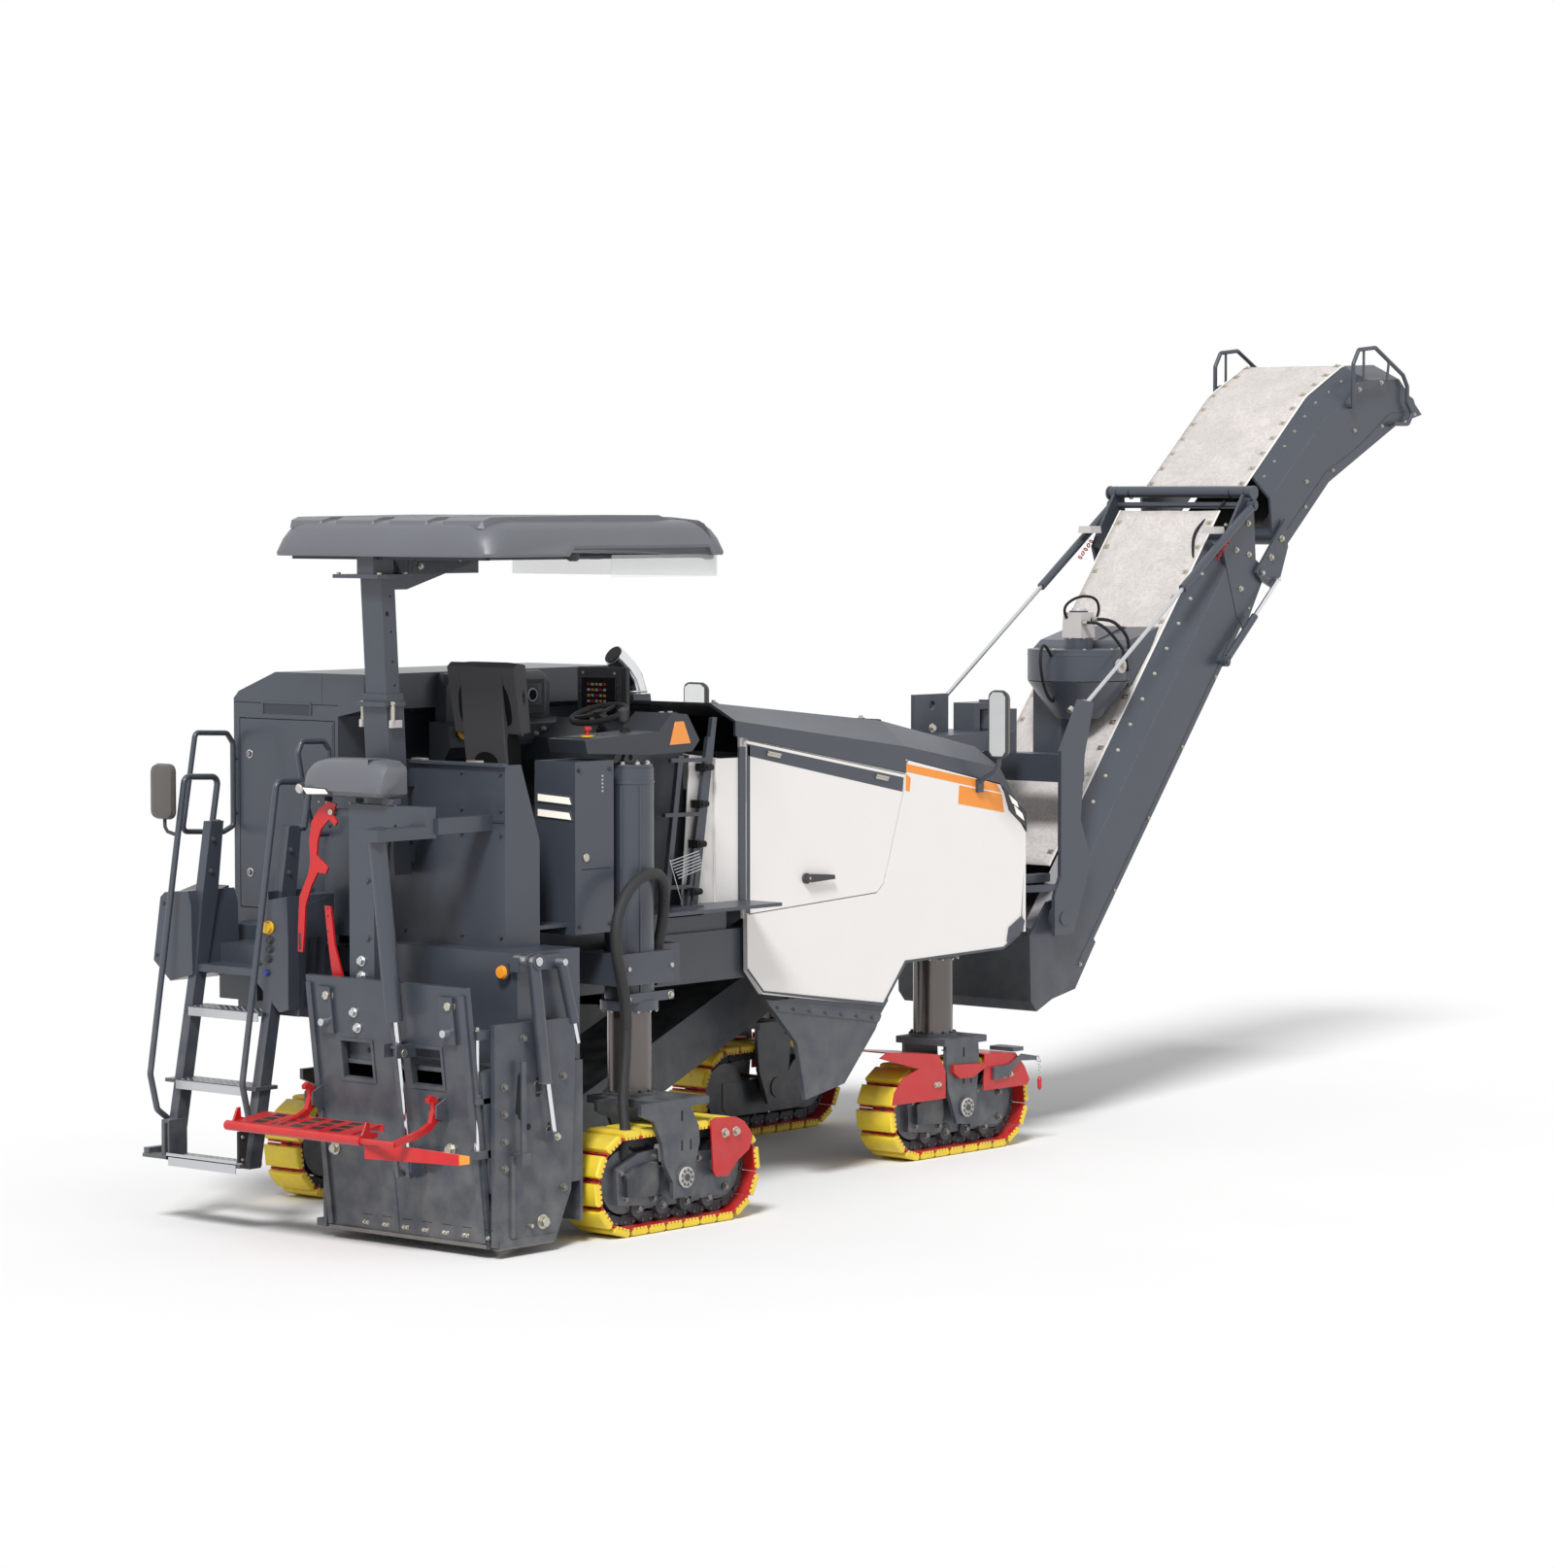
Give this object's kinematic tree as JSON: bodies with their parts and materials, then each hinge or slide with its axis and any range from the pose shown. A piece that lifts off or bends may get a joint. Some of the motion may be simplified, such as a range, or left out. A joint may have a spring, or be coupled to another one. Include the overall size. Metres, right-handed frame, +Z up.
{
  "type": "cold planer milling machine",
  "caption": "Tracked road milling machine with an open operator's platform under a canopy, a milling drum behind and a folding loading conveyor in front.",
  "frame": {"origin": "on the ground under the middle of the machine's overall box, with the tracks' pads on z = 0", "axes": "+X forward along the machine to the conveyor's head, +Y to the machine's left, +Z up"},
  "size_m": [10.558, 2.725, 4.8931],
  "materials": {
    "belt": "matte",
    "cast": "matte",
    "chrome": "polished",
    "pad": "matte",
    "paint": "satin",
    "paint_mid": "satin",
    "paint_white": "satin",
    "plastic": "matte",
    "red": "satin",
    "steel": "satin",
    "trunk": "satin",
    "upholstery": "matte"
  },
  "bodies": {
    "frame": {"body_left": "paint_white", "body_right": "paint_white", "cabinet": "paint_mid", "canopy_sleeve": "paint", "chassis": "paint", "console": "plastic", "drum_housing": "paint", "engine": "cast", "exhaust": "steel", "guide_front_left": "paint", "guide_front_right": "paint", "guide_rear_left": "paint", "guide_rear_right": "paint", "hood": "paint_mid", "ladder": "paint", "lamp_head": "paint", "left_base": "paint", "levers": "red", "lift_barrel": "paint", "mast": "paint", "mirrors": "plastic", "platform": "paint", "primary_belt": "belt", "primary_conveyor": "paint", "seat": "upholstery", "slew_head": "paint"},
    "drum": {"milling_drum": "cast"},
    "scraper": {"scraper": "paint"},
    "guard": {"guard": "red"},
    "plate_right": {"plate_right": "paint"},
    "plate_left": {"plate_left": "paint"},
    "canopy": {"canopy_post": "paint", "canopy_roof": "trunk", "canopy_visor": "trunk"},
    "door_right": {"door_right": "paint_white"},
    "door_left": {"door_left": "paint_white"},
    "cabinet_door": {"cabinet_door": "paint_mid"},
    "steering_wheel": {"steering_wheel": "plastic"},
    "slew_frame": {"slew_frame": "paint"},
    "conveyor_lower": {"conveyor_lower": "paint", "belt_lower": "belt", "dust_fan": "paint"},
    "conveyor_upper": {"conveyor_upper": "paint", "belt_upper": "belt"},
    "stay_barrels": {"stay_barrels": "paint"},
    "stay_rods": {"stay_rods": "chrome"},
    "fold_barrels": {"fold_barrels": "paint"},
    "fold_rods": {"fold_rods": "chrome"},
    "leg_rear_right": {"leg_rear_right": "paint", "track_rear_right": "pad"},
    "leg_rear_left": {"leg_rear_left": "paint", "track_rear_left": "pad"},
    "leg_front_right": {"leg_front_right": "paint", "track_front_right": "pad"},
    "leg_front_left": {"leg_front_left": "paint", "track_front_left": "pad"}
  },
  "joints": [
    {"name": "drum_spin", "type": "hinge", "parent": "frame", "child": "drum", "pos_m": [-4.455, -0.6725, 0.4], "axis": [0, 1, 0], "continuous": true},
    {"name": "scraper_lift", "type": "slide", "parent": "frame", "child": "scraper", "axis": [-0.1219, 0, 0.9925], "range_m": [0, 0.25]},
    {"name": "guard_fold", "type": "hinge", "parent": "scraper", "child": "guard", "pos_m": [-4.947, -0.5525, 0.745], "axis": [0, 1, 0], "range_deg": [0, 90]},
    {"name": "plate_right_lift", "type": "slide", "parent": "frame", "child": "plate_right", "axis": [0, 0, 1], "range_m": [0, 0.2]},
    {"name": "plate_left_lift", "type": "slide", "parent": "frame", "child": "plate_left", "axis": [0, 0, 1], "range_m": [0, 0.2]},
    {"name": "steer_rear_right", "type": "hinge", "parent": "frame", "child": "leg_rear_right", "pos_m": [-3.405, -0.9525, 0.5], "axis": [0, 0, 1], "range_deg": [-8, 8]},
    {"name": "steer_rear_left", "type": "hinge", "parent": "frame", "child": "leg_rear_left", "pos_m": [-3.405, 0.8475, 0.5], "axis": [0, 0, 1], "range_deg": [-8, 8]},
    {"name": "steer_front_right", "type": "hinge", "parent": "frame", "child": "leg_front_right", "pos_m": [-0.095, -0.3925, 0.5], "axis": [0, 0, 1], "range_deg": [-25, 25]},
    {"name": "steer_front_left", "type": "hinge", "parent": "frame", "child": "leg_front_left", "pos_m": [-0.095, 0.9425, 0.5], "axis": [0, 0, 1], "range_deg": [-25, 25]},
    {"name": "canopy_lower", "type": "slide", "parent": "frame", "child": "canopy", "axis": [-0.0599, 0, 0.9982], "range_m": [-0.35, 0]},
    {"name": "door_right_open", "type": "hinge", "parent": "frame", "child": "door_right", "pos_m": [-2.155, -0.7025, 2.527], "axis": [-0.9845, 0, 0.1752], "range_deg": [0, 70]},
    {"name": "door_left_open", "type": "hinge", "parent": "frame", "child": "door_left", "pos_m": [-2.155, 1.1975, 2.527], "axis": [0.9845, 0, -0.1752], "range_deg": [0, 70]},
    {"name": "cabinet_door_open", "type": "hinge", "parent": "frame", "child": "cabinet_door", "pos_m": [-4.255, 0.4175, 2.1], "axis": [0, 0, 1], "range_deg": [0, 20]},
    {"name": "steering_spin", "type": "hinge", "parent": "frame", "child": "steering_wheel", "pos_m": [-3.095, -0.4525, 2.7], "axis": [-0.3011, 0, 0.9536], "continuous": true},
    {"name": "conveyor_slew", "type": "hinge", "parent": "frame", "child": "slew_frame", "pos_m": [1.145, 0.1975, 1.5], "axis": [0, 0, 1], "range_deg": [-50, 50]},
    {"name": "conveyor_lift", "type": "hinge", "parent": "slew_frame", "child": "conveyor_lower", "pos_m": [1.175, 0.1975, 1.3], "axis": [0, 1, 0], "range_deg": [-5, 15]},
    {"name": "conveyor_fold", "type": "hinge", "parent": "conveyor_lower", "child": "conveyor_upper", "pos_m": [3.355, 0.1975, 3.4], "axis": [0, 1, 0], "range_deg": [0, 115]},
    {"name": "stay_barrel_swing", "type": "hinge", "parent": "conveyor_lower", "child": "stay_barrels", "pos_m": [3.235, 0.1975, 3.83], "axis": [0, 1, 0], "range_deg": [-2.23, 5.7]},
    {"name": "stay_rod_slide", "type": "slide", "parent": "stay_barrels", "child": "stay_rods", "axis": [-0.8254, 0, -0.5646], "range_m": [-0.095, 0.2751]},
    {"name": "fold_barrel_swing", "type": "hinge", "parent": "conveyor_lower", "child": "fold_barrels", "pos_m": [2.915, 0.1975, 2.835], "axis": [0, 1, 0], "range_deg": [-6.94, 0.5]},
    {"name": "fold_rod_slide", "type": "slide", "parent": "fold_barrels", "child": "fold_rods", "axis": [0.7528, 0, 0.6582], "range_m": [-0.2712, 0.005]}
  ],
  "couplings": [
    {"joint": "stay_barrel_swing", "follows": "conveyor_lift", "ratio": 0.3466},
    {"joint": "stay_rod_slide", "follows": "conveyor_lift", "m_per_rad": 1.0317},
    {"joint": "fold_barrel_swing", "follows": "conveyor_fold", "ratio": -0.056},
    {"joint": "fold_rod_slide", "follows": "conveyor_fold", "m_per_rad": -0.13264}
  ]
}
